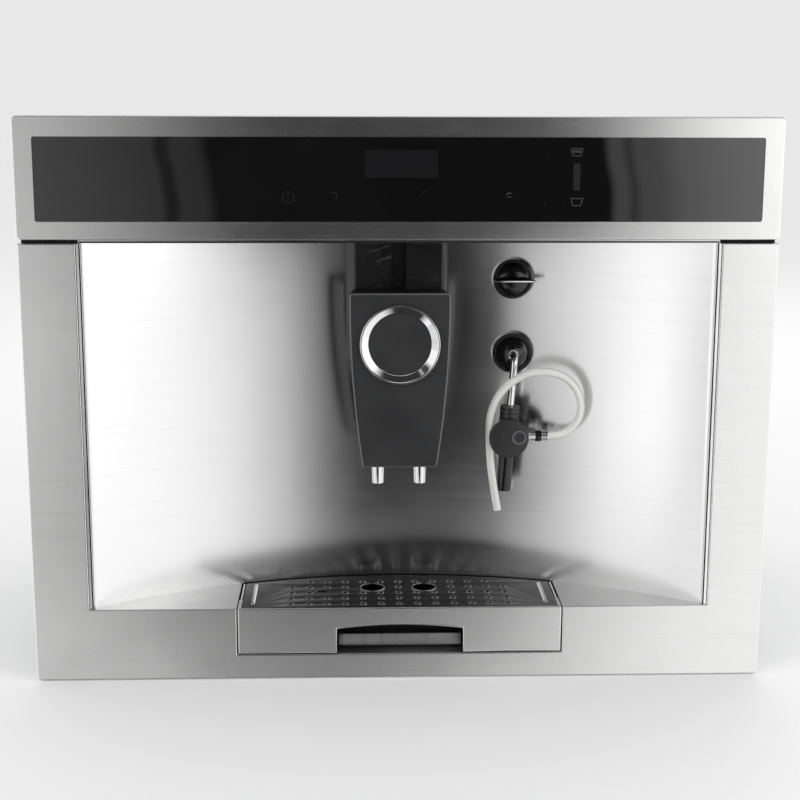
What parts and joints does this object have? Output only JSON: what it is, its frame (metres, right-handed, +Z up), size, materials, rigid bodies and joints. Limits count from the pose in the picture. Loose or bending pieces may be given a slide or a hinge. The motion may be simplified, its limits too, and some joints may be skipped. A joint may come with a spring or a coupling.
{
  "type": "built in coffee machine",
  "caption": "Built-in bean-to-cup coffee machine: steel front, curved recess, height-adjustable outlet, steam wand with milk hose, pull-out drip tray, case on telescopic slides.",
  "frame": {"origin": "middle of the underside of the mounting plate, where it lies on the niche's shelf", "axes": "+Z up, -Y out of the front towards the user, +X to the right as the user sees it"},
  "size_m": [0.594, 0.3762, 0.456],
  "materials": {
    "steel_front": "satin, brushed",
    "case_steel": "galvanised",
    "screw_steel": "bright",
    "black_glass": "polished",
    "circuit_board": "gloss",
    "grid_steel": "perforated, polished",
    "chrome": "polished",
    "head_grey": "satin",
    "black_plastic": "satin",
    "gloss_black": "gloss",
    "dark_grey_plastic": "matt",
    "silicone": "translucent",
    "float_red": "matt",
    "clear_plastic": "clear",
    "smoke_plastic": "smoked",
    "grey_plastic": "matt",
    "machine_metal": "satin",
    "cast_aluminium": "cast",
    "valve_brass": "machined",
    "pipe": "satin"
  },
  "bodies": {
    "cabinet_mount": {"mounting_plate": "case_steel", "slide_outer_members": "case_steel"},
    "slide_middle": {"slide_middle_members": "case_steel"},
    "chassis": {"slide_inner_members": "case_steel", "base_pan": "case_steel", "side_panel_left": "case_steel", "side_panel_right": "case_steel", "rear_panel": "case_steel", "top_cover": "case_steel", "equipment_deck": "case_steel", "case_screws": "screw_steel", "lower_frame": "steel_front", "control_panel_fascia": "steel_front", "control_glass": "black_glass", "display_board": "circuit_board", "recess_wall": "steel_front", "recess_ceiling": "black_plastic", "outlet_column": "black_plastic", "knob_bezel": "gloss_black", "steam_valve": "valve_brass", "wand_socket": "gloss_black", "tray_runners": "case_steel", "tank_seat": "grey_plastic", "bean_hopper": "smoke_plastic", "burr_housing": "grey_plastic", "grinder_motor": "machine_metal", "brew_drive": "grey_plastic", "thermoblock": "cast_aluminium", "pump": "machine_metal", "power_board": "circuit_board", "steam_pipes": "pipe", "water_hoses": "pipe", "mains_inlet": "black_plastic"},
    "outlet_head": {"outlet_carriage": "black_plastic", "outlet_cover": "head_grey", "outlet_ring": "chrome", "outlet_disc": "head_grey", "outlet_spouts": "chrome"},
    "steam_knob": {"steam_knob": "gloss_black", "knob_spindle": "chrome"},
    "wand_ball": {"wand_ball": "gloss_black"},
    "steam_tube": {"steam_tube": "chrome"},
    "frother": {"frother_body": "dark_grey_plastic", "frother_cap": "dark_grey_plastic", "frother_nozzle": "gloss_black", "milk_barb": "black_plastic", "milk_hose": "silicone"},
    "drip_tray": {"drip_tray_pan": "black_plastic", "drip_tray_front": "steel_front", "grip_plate": "steel_front", "grip_pocket": "black_plastic", "grounds_bin": "black_plastic"},
    "drip_grid": {"drip_grid": "grid_steel"},
    "tray_float": {"tray_float": "float_red"},
    "water_tank": {"water_tank": "clear_plastic"},
    "tank_lid": {"tank_lid": "clear_plastic"},
    "hopper_lid": {"hopper_lid": "smoke_plastic"},
    "brew_unit": {"brew_unit": "grey_plastic"},
    "mains_switch": {"mains_switch": "black_plastic"}
  },
  "joints": [
    {"name": "machine_slide", "type": "slide", "parent": "cabinet_mount", "child": "chassis", "axis": [0, -1, 0], "range_m": [0, 0.3]},
    {"name": "middle_slide", "type": "slide", "parent": "cabinet_mount", "child": "slide_middle", "axis": [0, -1, 0], "range_m": [0, 0.15]},
    {"name": "outlet_height", "type": "slide", "parent": "chassis", "child": "outlet_head", "axis": [0, 0, 1], "range_m": [0, 0.036]},
    {"name": "steam_tap", "type": "hinge", "parent": "chassis", "child": "steam_knob", "pos_m": [0.095, -0.13, 0.3225], "axis": [0, -1, 0], "range_deg": [0, 90]},
    {"name": "wand_tilt", "type": "hinge", "parent": "chassis", "child": "wand_ball", "pos_m": [0.0957, -0.123, 0.2602], "axis": [-1, 0, 0], "range_deg": [0, 25]},
    {"name": "wand_swing", "type": "hinge", "parent": "wand_ball", "child": "steam_tube", "pos_m": [0.0957, -0.123, 0.2602], "axis": [0, -1, 0], "range_deg": [-15, 25]},
    {"name": "frother_pull", "type": "slide", "parent": "steam_tube", "child": "frother", "axis": [-0.0698, 0, -0.9976], "range_m": [0, 0.03]},
    {"name": "tray_pull", "type": "slide", "parent": "chassis", "child": "drip_tray", "axis": [0, -1, 0], "range_m": [0, 0.16]},
    {"name": "grid_lift", "type": "slide", "parent": "drip_tray", "child": "drip_grid", "axis": [0, 0, 1], "range_m": [0, 0.04]},
    {"name": "float_rise", "type": "slide", "parent": "drip_tray", "child": "tray_float", "axis": [0, 0, 1], "range_m": [0, 0.006]},
    {"name": "tank_lift", "type": "slide", "parent": "chassis", "child": "water_tank", "axis": [0, 0, 1], "range_m": [0, 0.2]},
    {"name": "tank_lid_hinge", "type": "hinge", "parent": "water_tank", "child": "tank_lid", "pos_m": [0.184, 0.1652, 0.43765], "axis": [-1, 0, 0], "range_deg": [0, 95]},
    {"name": "hopper_lid_hinge", "type": "hinge", "parent": "chassis", "child": "hopper_lid", "pos_m": [-0.04, 0.1212, 0.44765], "axis": [-1, 0, 0], "range_deg": [0, 95]},
    {"name": "brew_unit_pull", "type": "slide", "parent": "chassis", "child": "brew_unit", "axis": [-1, 0, 0], "range_m": [0, 0.15]},
    {"name": "mains_switch_rock", "type": "hinge", "parent": "chassis", "child": "mains_switch", "pos_m": [-0.141, 0.1725, 0.04], "axis": [1, 0, 0], "range_deg": [0, 16]}
  ],
  "couplings": [
    {"joint": "middle_slide", "follows": "machine_slide", "ratio": 0.5}
  ]
}
